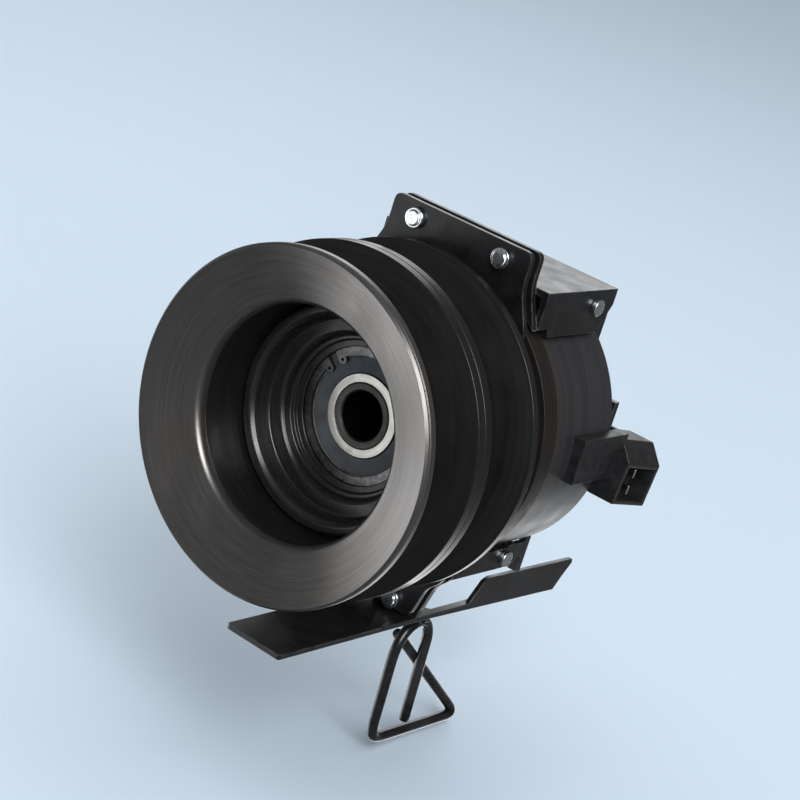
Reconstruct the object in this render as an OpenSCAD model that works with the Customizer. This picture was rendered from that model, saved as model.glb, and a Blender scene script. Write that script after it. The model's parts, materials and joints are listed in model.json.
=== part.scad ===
// Electromagnetic clutch with a two-groove belt pulley, for the blade drive of a ride-on mower.
// The shaft axis runs along Y: the pulley faces -Y, the engine side is +Y, and +Z is up.
// The origin is the engine end of the shaft bore. Depths are measured back from the front rim.

/* [Pulley] */
// Outside radius of the middle and rear rims
rim_r = 79; // [77:0.5:82]
// Outside radius of the front rim
front_r = 78; // [76:0.5:80]
// Distance from one rim to the next along the shaft
rim_pitch = 41; // [38:0.5:42]
// Width of the front rim's land
front_land = 6; // [4:0.5:7]
// Width of the middle rim's land, shared by its two halves
mid_land = 10; // [8:0.5:12]
// Width of the rear rim's land
rear_land = 5; // [4:0.5:6]
// Radius at the bottom of the belt grooves
groove_r = 55; // [54.5:0.5:57]
// Depth that each groove wall slopes inward from the rim's land
wall_run = 10; // [8:0.5:11]
// Radius of the open mouth in the front flange, and of the drum behind it
mouth_r = 52; // [51:0.5:52.5]
// Depth of the mouth's lip behind the front rim
lip_depth = 12; // [10:0.5:14]

/* [Bearings] */
// Radius of the shaft sleeve, which both bearings sit on
sleeve_r = 15; // [15:0.5:15]
// Radius of the shaft bore, a 7/8 inch crankshaft
bore_r = 11.1125; // [11.1125, 12.7]
// Outside radius of the pulley bearing
pulley_bearing_r = 31; // [31:0.5:31]
// Width of the pulley bearing
pulley_bearing_w = 16; // [16:1:18]
// Outside radius of the field bearing
field_bearing_r = 27.5; // [27.5:0.5:27.5]
// Width of the field bearing
field_bearing_w = 13; // [13:1:13]

/* [Magnet] */
// Outside radius of the field shell
shell_r = 69; // [68:0.5:70]
// Air gap that the armature closes when the coil is on
air_gap = 0.5; // [0.4:0.1:0.6]
// Thickness of the armature plate
armature_t = 6; // [5:0.5:6]
// Thickness of the rotor disc
rotor_t = 6; // [5:0.5:6]

/* [Brackets] */
// Thickness of the pressed steel brackets
sheet = 3; // [2.5:0.1:3]
// Distance between the brake studs across the clutch
stud_x = 49; // [46:1:52]
// Distance between the brake studs up and down
stud_z = 168; // [166:1:170]
// Half width of the bracket's side ears, over their outer faces
side_x = 47; // [47:0.5:48]
// Height of the bracket's top face above the shaft
top_z = 76; // [75:0.5:78]

/* [Belt keeper] */
// Height of the keeper plate's lower face below the shaft
keeper_drop = 93; // [91:0.5:96]
// Length of the keeper plate along the shaft
keeper_len = 234; // [220:1:240]
// Width of the keeper plate
keeper_w = 31; // [28:1:33]
// Diameter of the bent keeper wire
wire_d = 5.2; // [4.6:0.1:5.4]

/* [Connector] */
// Length of the connector body along the shaft
plug_len = 33; // [30:1:34]
// Height of the connector body
plug_h = 26; // [24:1:27]
// Tilt of the connector body about the side axis
plug_tilt = 9; // [6:1:12]

/* [Hidden] */
$fn = 96;

// Depths behind the front rim
total = 172;
mid_z = rim_pitch;
rear_z = 2 * rim_pitch - 1;
ring2_z = 40;
ring3_z = 51;
snap_z = 59.4;
snap_t = 1.6;
bearing_z = snap_z + snap_t;
bearing_back = bearing_z + pulley_bearing_w;
hub_back = 85;
brake_z = 93.5;
armature_z = 98.6;
rotor_z = armature_z + armature_t + air_gap;
shell_z = rotor_z + rotor_t + 1;
shell_back = 164;
rear_t = 3.5;
rear_back = shell_back + rear_t;
lead_slot = 141;
ear_z = 101;
field_bearing_z = shell_back - 4 - field_bearing_w;

// Radii that other pieces share
race_t = 4.4;
ball_clear = 0.1;
rotor_r = shell_r + 2;
armature_r = shell_r + 3;
shell_in = shell_r - 3.5;
ear_hole_r = armature_r + 2;
pole_in = 33;
coil_in = 36;
coil_out = 60.5;
brake_in = 56;

// Fasteners
stud_r = 2.95;
stud_head_r = 4.8;
m6_r = 3;
m6_head_r = 5;
mount_hole_r = 4.25;

// ---------- helpers ----------

// A solid of revolution about the shaft; points are [radius, depth].
module turned(points) {
  translate([0, -total, 0]) rotate([-90, 0, 0]) rotate_extrude() polygon(points);
}

// A flat plate square to the shaft, from depth z back by t; its outline is drawn in X and Z.
module plate_at(z, t) {
  translate([0, z + t - total, 0]) rotate([90, 0, 0]) linear_extrude(height = t) children();
}

// A rod along the shaft between two depths, at X and Z.
module rod_at(x, z, from, to, r) {
  translate([x, from - total, z]) rotate([-90, 0, 0]) cylinder(r = r, h = to - from);
}

// A ring of rectangular section about the shaft.
module ring(r_in, r_out, from, to) {
  turned([[r_in, from], [r_out, from], [r_out, to], [r_in, to]]);
}

// Copies of the children turned about the shaft.
module around(count, first = 0) {
  for (i = [0 : count - 1]) rotate([0, first + i * 360 / count, 0]) children();
}

// The four brake stud places, as X and Z.
function stud_places() = [for (sx = [-1, 1], sz = [-1, 1]) [sx * stud_x / 2, sz * stud_z / 2]];

// A flat plate square to X, from x out by t; its outline is drawn in depth and Z.
module side_plate(x, t) {
  translate([x, -total, 0]) rotate([90, 0, 90]) linear_extrude(height = t) children();
}

// ---------- pulley ----------

// Front flange: a dished face that slopes back from the rim to the mouth.
module pulley_front_flange() {
  wall_z = front_land + wall_run;
  color([0.25, 0.24, 0.23]) turned([
    [front_r - 1.2, 0], [front_r, 1.2], [front_r, front_land], [groove_r, wall_z],
    [mouth_r, wall_z], [mouth_r, lip_depth]
  ]);
}

// Front half of the middle rim: the rear wall of the first groove.
module pulley_mid_flange_front() {
  land = mid_z - mid_land / 2;
  color([0.2, 0.19, 0.18]) turned([
    [groove_r, land - wall_run], [rim_r, land], [rim_r, mid_z],
    [rim_r - 5, mid_z], [groove_r, mid_z - 7]
  ]);
}

// Rear half of the middle rim: the front wall of the second groove.
module pulley_mid_flange_rear() {
  land = mid_z + mid_land / 2;
  color([0.2, 0.19, 0.18]) turned([
    [groove_r, mid_z + 7], [rim_r - 5, mid_z], [rim_r, mid_z],
    [rim_r, land], [groove_r, land + wall_run]
  ]);
}

// Rear flange: the rear wall of the second groove.
module pulley_rear_flange() {
  land = rear_z - rear_land / 2;
  back = rear_z + rear_land / 2;
  color([0.16, 0.16, 0.16]) turned([
    [groove_r, land - wall_run], [rim_r, land], [rim_r, back - 1],
    [rim_r - 1, back], [groove_r, back - wall_run + 1]
  ]);
}

// Drum: the tube that the flanges are fixed to, and the floor of both grooves.
module pulley_drum() {
  color([0.1, 0.1, 0.1]) ring(mouth_r, groove_r, front_land + wall_run, rear_z);
}

// Hub: stepped in from the drum to the bearing pocket.
module pulley_hub() {
  pocket = pulley_bearing_r;
  color([0.12, 0.12, 0.12]) turned([
    [mouth_r, ring2_z + 2], [mouth_r - 1.5, ring2_z], [mouth_r - 5, ring2_z],
    [mouth_r - 7, ring2_z + 2], [mouth_r - 7, ring3_z - 2], [mouth_r - 8, ring3_z],
    [mouth_r - 14, ring3_z], [mouth_r - 15.5, ring3_z + 2], [mouth_r - 15.5, snap_z - 3],
    [mouth_r - 17.5, snap_z - 3], [mouth_r - 18, snap_z - 1.2], [pocket, snap_z - 1.2],
    [pocket, snap_z], [pocket + 1.5, snap_z], [pocket + 1.5, bearing_z],
    [pocket, bearing_z], [pocket, bearing_back], [pocket - 4, bearing_back],
    [pocket - 4, hub_back], [mouth_r, hub_back]
  ]);
}

// ---------- bearings ----------

// Radius and number of the balls, which run midway between the bearing's two radii.
function ball_r(outer) = (outer - sleeve_r) * 0.3;
function pitch_r(outer) = (outer + sleeve_r) / 2;

// Outer race with its ball track.
module outer_race(outer, from, width) {
  color([0.8, 0.8, 0.78]) difference() {
    ring(outer - race_t, outer, from, from + width);
    track(outer, from, width);
  }
}

// Inner race with its ball track.
module inner_race(outer, from, width) {
  color([0.85, 0.84, 0.8]) difference() {
    ring(sleeve_r, sleeve_r + 4, from, from + width);
    track(outer, from, width);
  }
}

// The round track that the balls roll in.
module track(outer, from, width) {
  translate([0, from + width / 2 - total, 0]) rotate([-90, 0, 0]) rotate_extrude()
    translate([pitch_r(outer), 0]) circle(r = ball_r(outer) + ball_clear);
}

// A row of balls.
module balls(outer, from, width, count) {
  color([0.85, 0.85, 0.87]) around(count)
    translate([pitch_r(outer), from + width / 2 - total, 0]) sphere(r = ball_r(outer), $fn = 48);
}

// Cage: a ring with a round pocket for each ball.
module cage(outer, from, width, count) {
  color([0.7, 0.6, 0.35]) difference() {
    ring(pitch_r(outer) - 1, pitch_r(outer) + 1, from + 2, from + width - 2);
    around(count) translate([pitch_r(outer) - 5, from + width / 2 - total, 0])
      rotate([0, 90, 0]) cylinder(r = ball_r(outer) + 0.2, h = 10, $fn = 48);
  }
}

// Rubber seals: one thin disc at each end, fixed in the outer race.
module seals(outer, from, width) {
  inner = sleeve_r + 4.3;
  color([0.2, 0.22, 0.25]) {
    ring(inner, outer - race_t, from + 0.4, from + 1.6);
    ring(inner, outer - race_t, from + width - 1.6, from + width - 0.4);
  }
}

// Internal snap ring: open at one place, with a holed lug on each side of the gap.
module snap_ring(outer, from, thick, gap_turn) {
  lug_turn = 9;
  lug_r = 2.1;
  lug_at = outer - 4.6;
  color([0.6, 0.6, 0.6]) rotate([0, gap_turn, 0]) difference() {
    union() {
      difference() {
        ring(outer - 3.8, outer + 1.4, from, from + thick);
        translate([0, from - total - 1, 0]) rotate([-90, 0, 0]) linear_extrude(height = thick + 2)
          polygon([[0, 0], [outer * 2 * sin(lug_turn / 2), -outer * 2],
                   [-outer * 2 * sin(lug_turn / 2), -outer * 2]]);
      }
      for (side = [-1, 1]) rotate([0, side * lug_turn, 0])
        rod_at(0, lug_at, from, from + thick, lug_r);
    }
    for (side = [-1, 1]) rotate([0, side * lug_turn, 0])
      rod_at(0, lug_at, from - 1, from + thick + 1, 0.8);
  }
}

module pulley_bearing_outer_race() { outer_race(pulley_bearing_r, bearing_z, pulley_bearing_w); }
module pulley_bearing_inner_race() { inner_race(pulley_bearing_r, bearing_z, pulley_bearing_w); }
module pulley_bearing_seals() { seals(pulley_bearing_r, bearing_z, pulley_bearing_w); }
module pulley_bearing_balls() { balls(pulley_bearing_r, bearing_z, pulley_bearing_w, 9); }
module pulley_bearing_cage() { cage(pulley_bearing_r, bearing_z, pulley_bearing_w, 9); }
module field_bearing_outer_race() { outer_race(field_bearing_r, field_bearing_z, field_bearing_w); }
module field_bearing_inner_race() { inner_race(field_bearing_r, field_bearing_z, field_bearing_w); }
module field_bearing_seals() { seals(field_bearing_r, field_bearing_z, field_bearing_w); }
module field_bearing_balls() { balls(field_bearing_r, field_bearing_z, field_bearing_w, 11); }
module field_bearing_cage() { cage(field_bearing_r, field_bearing_z, field_bearing_w, 11); }
module bearing_snap_ring() { snap_ring(pulley_bearing_r, snap_z, snap_t, -50); }
module field_bearing_snap_ring() { snap_ring(field_bearing_r, field_bearing_z - 1.4, 1.2, 90); }

// ---------- armature ----------

spring_r = 49;
spring_t = 0.6;
spring_turn = 34;
rivet_r = 2.6;
stand_off_r = 4.4;

// Leaf springs: three thin straps from the hub's rear face to the armature's front face.
module armature_leaf_springs() {
  half = spring_r * sin(spring_turn / 2);
  color([0.55, 0.55, 0.55]) around(3) translate([0, armature_z - spring_t - total, 0])
    rotate([-90, 0, 0]) linear_extrude(height = spring_t) difference() {
      translate([0, -spring_r * cos(spring_turn / 2)]) union() {
        square([2 * half, 11], center = true);
        for (side = [-1, 1]) translate([side * half, 0]) circle(r = 5.5);
      }
      for (side = [-1, 1]) translate([side * half, -spring_r * cos(spring_turn / 2)])
        circle(r = rivet_r);
    }
}

// Place of a leaf spring's end; side -1 is the hub's end and 1 the armature's.
module spring_end(side) {
  around(3) translate([side * spring_r * sin(spring_turn / 2), 0,
                       spring_r * cos(spring_turn / 2)]) children();
}

// Stand-off rivets that hold the springs to the hub.
module leaf_spring_rivets() {
  color([0.7, 0.7, 0.7]) spring_end(-1) union() {
    rod_at(0, 0, hub_back, armature_z - spring_t, stand_off_r);
    rod_at(0, 0, armature_z - spring_t, armature_z + 1, rivet_r);
  }
}

// Armature: the steel ring that the magnet pulls back against the rotor.
module armature_plate() {
  color([0.3, 0.3, 0.3]) difference() {
    ring(41, armature_r, armature_z, armature_z + armature_t);
    spring_end(1) rod_at(0, 0, armature_z - 1, armature_z + armature_t + 1, rivet_r);
    spring_end(-1) rod_at(0, 0, armature_z - 1, armature_z + 2, stand_off_r + 0.2);
  }
}

// Rivets that hold the springs' other ends to the armature.
module armature_rivets() {
  color([0.7, 0.7, 0.7]) spring_end(1) rod_at(0, 0, armature_z, armature_z + armature_t, rivet_r);
}

// ---------- rotor and sleeve ----------

// Shaft sleeve with a chamfer at the front and a keyway that stops short of it.
module hub_sleeve() {
  front = bearing_z - 0.4;
  key_w = 6.35;
  key_from = front + 12;
  color([0.3, 0.31, 0.28]) difference() {
    turned([
      [bore_r + 1, front], [sleeve_r - 0.6, front], [sleeve_r, front + 0.6],
      [sleeve_r, total - 0.6], [sleeve_r - 0.6, total], [bore_r, total], [bore_r, front + 1]
    ]);
    translate([-key_w / 2, key_from - total, 0]) cube([key_w, total - key_from + 1, bore_r + 1.9]);
  }
}

// Rotor disc: the face that the armature grips, with three rings of slots between its poles.
module rotor_disc() {
  color([0.45, 0.36, 0.26]) difference() {
    union() {
      ring(sleeve_r, rotor_r, rotor_z, rotor_z + rotor_t);
      ring(coil_out + 1, shell_in - 0.6, rotor_z + rotor_t, rotor_z + rotor_t + 12);
    }
    for (row = [0 : 2]) around(4, row * 45) rotor_slot(40 + row * 9);
  }
}

// One arc-shaped slot through the rotor disc, centred on radius r.
module rotor_slot(r) {
  slot_w = 3;
  slot_turn = 66;
  translate([0, rotor_z - 1 - total, 0]) rotate([-90, 0, 0])
    rotate_extrude(angle = slot_turn) translate([r, 0]) square([slot_w, rotor_t + 2]);
}

// Rotor hub: carries the flux back to the shell around the sleeve.
module rotor_hub() {
  color([0.3, 0.3, 0.3]) turned([
    [sleeve_r, rotor_z + rotor_t], [pole_in, rotor_z + rotor_t],
    [pole_in, field_bearing_z - 9], [sleeve_r + 3.5, field_bearing_z - 9],
    [sleeve_r + 3.5, field_bearing_z], [sleeve_r, field_bearing_z]
  ]);
}

// Collar between the pulley bearing and the rotor disc.
module spacer_collar() {
  color([0.5, 0.5, 0.5]) ring(sleeve_r, sleeve_r + 3.8, bearing_back, rotor_z);
}

// Retaining ring in a groove of its own behind the field bearing.
module sleeve_retaining_ring() {
  from = field_bearing_z + field_bearing_w;
  color([0.6, 0.6, 0.6]) ring(sleeve_r, sleeve_r + 3, from, from + 1.6);
}

// ---------- field magnet ----------

// Field shell: a deep steel cup, with a bearing seat at its centre and a slot for the leads.
module field_shell() {
  seat = field_bearing_r;
  color([0.18, 0.18, 0.18]) difference() {
    turned([
      [shell_in, shell_z], [shell_r - 0.6, shell_z], [shell_r, shell_z + 0.6],
      [shell_r, shell_back - 1.5], [shell_r - 1.5, shell_back], [seat - 3, shell_back],
      [seat - 3, shell_back - 4], [seat, shell_back - 4], [seat, field_bearing_z],
      [seat + 1.5, field_bearing_z], [seat + 1.5, field_bearing_z - 1.4],
      [seat, field_bearing_z - 1.4], [seat, field_bearing_z - 4],
      [coil_in - 1, field_bearing_z - 4], [coil_in - 1, shell_back - 4],
      [shell_in, shell_back - 4]
    ]);
    translate([shell_in - 4, lead_slot - total, -3]) cube([12, shell_back - lead_slot + 1, 12]);
    for (p = screw_places()) rod_at(p[0], p[1], shell_back - 5, shell_back + 1, m6_r);
  }
}

// Bobbin: a plastic spool for the winding.
module coil_bobbin() {
  front = shell_z + 3;
  back = shell_back - 4;
  wall = 2;
  color([0.85, 0.82, 0.7]) turned([
    [coil_in, front], [coil_out, front], [coil_out, front + wall],
    [coil_in + wall, front + wall], [coil_in + wall, back - wall],
    [coil_out, back - wall], [coil_out, back], [coil_in, back]
  ]);
}

// Winding: the copper wire as one packed ring.
module coil_winding() {
  color([0.72, 0.4, 0.2]) ring(coil_in + 2, coil_out - 1.5, shell_z + 5, shell_back - 6);
}

// Potting: resin that seals the front of the coil.
module coil_potting() {
  color([0.1, 0.1, 0.1]) ring(coil_in, coil_out, shell_z + 0.5, shell_z + 3);
}

// ---------- rear plate and brackets ----------

function screw_places() = [for (sx = [-1, 1], sz = [-1, 1]) [sx * 36, sz * 36]];
function mount_places() = [for (sx = [-1, 1], sz = [-1, 1]) [sx * 36, sz * 56]];
tab_x = side_x - 2 * sheet;

// Height at which a side ear's inner face just clears the shell.
function ear_edge(inside = shell_r) = sqrt(pow(inside, 2) - pow(side_x - sheet, 2)) + ear_gap;
bolt_top = [148, 68];
bolt_bottom = [142, -59.5];
ear_gap = 1.4;
keeper_t = 2.5;
arm_top = 14;

// Rear plate: closes the back, carries the engine bolts and holds the connector arm.
module rear_plate() {
  slot_w = 11;
  slot_top = -59;
  color([0.12, 0.12, 0.12]) {
    difference() {
      plate_at(shell_back, rear_t) union() {
        square([2 * (side_x - sheet), 144], center = true);
        translate([side_x - sheet - 4, arm_top + 0.3]) square([25, 12]);
      }
      for (p = mount_places()) rod_at(p[0], p[1], shell_back - 1, rear_back + 1, mount_hole_r);
      for (p = screw_places()) rod_at(p[0], p[1], shell_back - 1, rear_back + 1, m6_r);
      rod_at(0, 0, shell_back - 1, rear_back + 1, sleeve_r + 5);
      translate([-slot_w / 2, shell_back - 1 - total, slot_top - 14]) cube([slot_w, rear_t + 2, 14]);
    }
    for (side = [-1, 1]) {
      rear_tab(side, bolt_top, 9.6);
      rear_tab(side, bolt_bottom, 7.4);
    }
  }
}

// A tab bent forward from the rear plate, lying inside a bracket ear.
module rear_tab(side, bolt, height) {
  front = bolt[0] - 7;
  x = side > 0 ? tab_x : -tab_x - sheet;
  difference() {
    translate([x, front - total, bolt[1] - height / 2]) cube([sheet, rear_back - front, height]);
    translate([x - 1, bolt[0] - total, bolt[1]]) rotate([0, 90, 0])
      cylinder(r = m6_r, h = sheet + 2);
  }
}

// Screws that hold the rear plate to the shell.
module rear_plate_screws() {
  head_t = 4;
  color([0.75, 0.75, 0.75]) for (p = screw_places()) difference() {
    union() {
      rod_at(p[0], p[1], shell_back - 4, rear_back, m6_r);
      rod_at(p[0], p[1], rear_back, rear_back + head_t, m6_head_r);
    }
    socket_cut(p, rear_back + 1.5, rear_back + head_t + 1);
  }
}

// A hexagon socket cut into a screw head.
module socket_cut(p, from, to) {
  key_r = 2.9;
  translate([p[0], from - total, p[1]]) rotate([-90, 0, 0]) cylinder(r = key_r, h = to - from, $fn = 6);
}

// A closed outline whose corners are rounded; each corner is [x, y, how far the bend reaches].
function soft_outline(corners, steps = 4) = [
  for (i = [0 : len(corners) - 1]) let (
    here = flat(corners[i]),
    before = flat(corners[(i + len(corners) - 1) % len(corners)]),
    after = flat(corners[(i + 1) % len(corners)]),
    bend = corners[i][2],
    a = here + unit(before - here) * bend,
    b = here + unit(after - here) * bend
  ) if (bend == 0) here else each [
    for (s = [0 : steps]) let (u = s / steps)
      a * (1 - u) * (1 - u) + here * 2 * u * (1 - u) + b * u * u
  ]
];
function flat(p) = [p[0], p[1]];

// Outline of an upper ear, mirrored by the caller for the other side.
function ear_outline() = soft_outline([
  [0, 20, 0], [44, 42, 2], [side_x, 57, 4], [39, 75, 6], [39, 91.5, 4], [0, 91.5, 0]
]);

// Upper bracket: an ear in front, a top face and a side ear on each side of the shell.
module bracket_top() {
  low = ear_edge();
  low_front = ear_edge(armature_r);
  color([0.15, 0.15, 0.15]) {
    difference() {
      plate_at(ear_z, sheet) union() {
        polygon(ear_outline());
        mirror([1, 0]) polygon(ear_outline());
      }
      rod_at(0, 0, ear_z - 1, ear_z + sheet + 1, ear_hole_r);
      for (p = stud_places()) rod_at(p[0], p[1], ear_z - 1, ear_z + sheet + 1, stud_r + 0.1);
    }
    translate([-side_x, ear_z + sheet - total, top_z - sheet])
      cube([2 * side_x, shell_back - ear_z - sheet, sheet]);
    for (side = [-1, 1]) difference() {
      side_plate(side > 0 ? side_x - sheet : -side_x, sheet) polygon([
        [ear_z + sheet, low_front], [shell_z, low_front], [shell_z + 2, low],
        [shell_back - 8, low], [shell_back, top_z - 8],
        [shell_back, top_z - sheet], [ear_z + sheet, top_z - sheet]
      ]);
      side_hole(bolt_top);
    }
  }
}

// A bolt hole through both side ears.
module side_hole(bolt) {
  translate([-side_x - 1, bolt[0] - total, bolt[1]]) rotate([0, 90, 0])
    cylinder(r = m6_r, h = 2 * side_x + 2);
}

// Lower bracket: an ear in front, a side ear on each side, and a neck down to the keeper.
module bracket_bottom() {
  high = -ear_edge();
  high_front = -ear_edge(armature_r);
  low = -65;
  neck = [[14, -80], [42, -66], [37, -78], [35.5, -keeper_drop + keeper_t],
          [10, -keeper_drop + keeper_t]];
  color([0.12, 0.12, 0.12]) {
    difference() {
      plate_at(ear_z, sheet) union() {
        polygon(lower_outline());
        mirror([1, 0]) polygon(lower_outline());
        polygon(neck);
      }
      rod_at(0, 0, ear_z - 1, ear_z + sheet + 1, ear_hole_r);
      for (p = stud_places()) rod_at(p[0], p[1], ear_z - 1, ear_z + sheet + 1, stud_r + 0.1);
    }
    for (side = [-1, 1]) difference() {
      side_plate(side > 0 ? side_x - sheet : -side_x, sheet) union() {
        polygon([[ear_z, high_front], [shell_z, high_front], [shell_z + 2, high],
                 [shell_back - 10, high], [shell_back - 10, low + 6],
                 [shell_back - 16, low], [ear_z, low]]);
        translate([shell_back - 16, low + 6]) circle(r = 6);
      }
      side_hole(bolt_bottom);
    }
  }
}

// Outline of half the lower ear.
function lower_outline() = soft_outline([
  [0, -20, 0], [44, -42, 2], [side_x, -54, 3], [side_x, -65, 3], [40, -72, 3], [36, -88, 4],
  [0, -88, 0]
]);

// Bolts through the side ears and the rear plate's tabs.
module bracket_bolts() {
  color([0.85, 0.85, 0.82]) for (side = [0, 1]) mirror([side, 0, 0]) {
    bracket_bolt(bolt_top, 7);
    bracket_bolt(bolt_bottom, 0);
  }
}

// One bolt with a round head, which passes the tab by the length past.
module bracket_bolt(place, past) {
  grip = side_x - tab_x + past;
  translate([tab_x - past, place[0] - total, place[1]]) rotate([0, 90, 0]) union() {
    cylinder(r = m6_r, h = grip);
    translate([0, 0, grip]) cylinder(r = m6_head_r - 1, h = 2.6);
  }
}

// Nuts on the inner ends of the upper bracket bolts; the lower ones screw into the tabs.
module bracket_nuts() {
  color([0.8, 0.8, 0.8]) for (side = [0, 1])
    mirror([side, 0, 0]) translate([tab_x - 5, bolt_top[0] - total, bolt_top[1]])
      rotate([0, 90, 0]) rotate([0, 0, 30]) difference() {
        cylinder(r = m6_head_r + 0.5, h = 5, $fn = 6);
        translate([0, 0, -1]) cylinder(r = m6_r, h = 7);
      }
}

// ---------- brake ----------

// Brake plate: pressed against the armature's front face while the coil is off.
module brake_plate() {
  color([0.13, 0.13, 0.13]) difference() {
    union() {
      ring(brake_in, brake_in + 10, brake_z, brake_z + sheet);
      plate_at(brake_z, sheet) for (side = [0, 1]) mirror([side, 0]) {
        polygon(ear_outline());
        polygon(lower_outline());
      }
    }
    rod_at(0, 0, brake_z - 1, brake_z + sheet + 1, brake_in);
    for (p = stud_places()) rod_at(p[0], p[1], brake_z - 1, brake_z + sheet + 1, stud_r);
  }
}

// Friction pads on the brake plate's rear face, above and below the shaft.
module brake_pads() {
  color([0.35, 0.28, 0.2]) for (turn = [0, 180]) rotate([0, turn, 0]) intersection() {
    ring(58.5, armature_r - 0.5, brake_z + sheet, armature_z - 0.3);
    translate([-30, brake_z - total, 40]) cube([60, 20, 50]);
  }
}

// Brake studs: a domed head in front and a thread that carries the spring and the nut.
module brake_studs() {
  head_t = 2.4;
  color([0.8, 0.82, 0.82]) for (p = stud_places()) union() {
    rod_at(p[0], p[1], brake_z - head_t, brake_z, stud_head_r);
    rod_at(p[0], p[1], brake_z - head_t - 1, brake_z - head_t, stud_head_r - 1.4);
    rod_at(p[0], p[1], brake_z, ear_z + sheet + 10, stud_r);
  }
}

// Springs that press the brake plate away from its bracket, as closed stacks of three rings.
module brake_springs() {
  turns = 3;
  coil_r = 5;
  gap = (ear_z - brake_z - sheet) / turns;
  color([0.5, 0.5, 0.5]) for (p = stud_places(), i = [0 : turns - 1]) difference() {
    rod_at(p[0], p[1], brake_z + sheet + i * gap, brake_z + sheet + (i + 1) * gap, coil_r - 0.4 * (i % 2));
    rod_at(p[0], p[1], brake_z, ear_z + 1, stud_r + 0.4);
  }
}

// Lock nuts that set the brake plate's gap.
module brake_nuts() {
  from = ear_z + sheet;
  nut_t = 5;
  collar_t = 2;
  color([0.78, 0.78, 0.76]) for (p = stud_places()) difference() {
    union() {
      translate([p[0], from - total, p[1]]) rotate([-90, 0, 0]) cylinder(r = 5.8, h = nut_t, $fn = 6);
      rod_at(p[0], p[1], from + nut_t, from + nut_t + collar_t, 4.5);
    }
    rod_at(p[0], p[1], from - 1, from + nut_t + collar_t + 1, stud_r);
  }
}

// ---------- belt keeper ----------

keeper_x = 35.5;
keeper_z0 = 1;

// Keeper plate: a long flat strip with a lip that rises into a flange behind the notch.
module keeper_plate() {
  narrow = 4;
  low = -keeper_drop;
  color([0.1, 0.1, 0.1]) union() {
    translate([0, keeper_z0 - total, low]) linear_extrude(height = keeper_t) polygon(soft_outline([
      [keeper_x - keeper_w, 0, 2], [keeper_x, 0, 1.5], [keeper_x, keeper_len - 10, 0],
      [keeper_x - narrow, keeper_len - 10, 2], [keeper_x - narrow, ear_z + 16, 2],
      [keeper_x - keeper_w, ear_z + 4, 2]
    ]));
    side_plate(keeper_x - keeper_t, keeper_t) polygon([
      [112, low], [keeper_len - 9, low - 3], [keeper_len - 4, low + 4], [keeper_len + 2, low + 11],
      [keeper_len + 1, low + 13], [158, low + 14.5], [154, low + 13], [146, low + 2.5]
    ]);
  }
}

// The keeper wire's path in X, depth and Z, bend by bend, with the radius of each bend.
wire_x = 31;
wire_path = [
  [wire_x, 129, -153, 0], [wire_x, 124.5, -96, 9], [wire_x, 99, -96, 12],
  [wire_x, 103, -158, 6], [wire_x - 3, 181, -162, 7], [wire_x - 5, 106, -104, 0]
];

// Points along a path whose corners are rounded: each corner is a quadratic curve of a few steps.
function rounded(path, steps) = [
  for (i = [0 : len(path) - 1]) let (p = xyz(path[i]), r = path[i][3])
    if (r == 0) p else each [
      for (s = [0 : steps]) let (
        a = p + unit(xyz(path[i - 1]) - p) * r * 1.6,
        b = p + unit(xyz(path[i + 1]) - p) * r * 1.6,
        u = s / steps
      ) a * (1 - u) * (1 - u) + p * 2 * u * (1 - u) + b * u * u
    ]
];
function xyz(p) = [p[0], p[1] - total, p[2]];
function unit(v) = v / norm(v);

// A round tube of n sides swept along points as one closed solid.
module tube(points, r, n) {
  last = len(points) - 1;
  function ahead(i) = unit(points[min(i + 1, last)] - points[max(i - 1, 0)]);
  rings = [for (i = [0 : last]) let (
    u = unit(cross(ahead(i), [1, 0.15, 0.1])),
    v = cross(ahead(i), u)
  ) for (k = [0 : n - 1]) points[i] + r * (u * cos(k * 360 / n) + v * sin(k * 360 / n))];
  sides = [for (i = [0 : last - 1], k = [0 : n - 1]) let (
    a = i * n + k,
    b = i * n + (k + 1) % n
  ) each [[a, b, b + n], [a, b + n, a + n]]];
  caps = [[for (k = [n - 1 : -1 : 0]) k], [for (k = [0 : n - 1]) last * n + k]];
  polyhedron(points = rings, faces = concat(sides, caps), convexity = 6);
}

module keeper_wire() {
  color([0.2, 0.2, 0.2]) tube(rounded(wire_path, 7), wire_d / 2, 16);
}

// ---------- connector ----------

plug_x = 74;
plug_z = -6;
arm_low = -8;
plug_y = 166.5;

// Connector arm: a moulded block on the shell's side that leads the wires out to the rear.
module connector_arm() {
  from = 131;
  color([0.08, 0.08, 0.08]) difference() {
    translate([shell_r - 11, from - total, arm_low]) cube([16, 41, arm_top - arm_low]);
    rod_at(0, 0, from - 1, rear_back, shell_r + 0.05);
    plug_frame() translate([-30, 0, -30]) cube([60, 60, 60]);
    translate([60, lead_slot - total, 0]) cube([11.5, 40, 6]);
  }
}

// Puts the children in the connector's own frame: x across, y along its length, z up.
module plug_frame() {
  translate([plug_x, plug_y - total, plug_z]) rotate([-plug_tilt, 0, 0]) children();
}

// Connector body: a box whose socket faces sideways, with a sloping hood on top and a
// chamber behind for the lead wires.
module connector_housing() {
  back = -16;
  wall = 2.2;
  half = plug_h / 2;
  color([0.1, 0.1, 0.1]) plug_frame() difference() {
    rotate([90, 0, 0]) translate([0, 0, -plug_len]) linear_extrude(height = plug_len) polygon([
      [back, -half], [6, -half], [6, half - 5], [-2, half + 4], [back, half + 4]
    ]);
    translate([-6, wall, -half + wall]) cube([13, plug_len - 2 * wall, plug_h - 5 - 2 * wall]);
    translate([back + 2, -1, -10]) cube([-back - 10, plug_len - wall, 22]);
    for (i = [0, 1]) translate([-9, blade_y, blade_z(i)]) cube([6, blade_t, blade_w]);
  }
}

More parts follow.
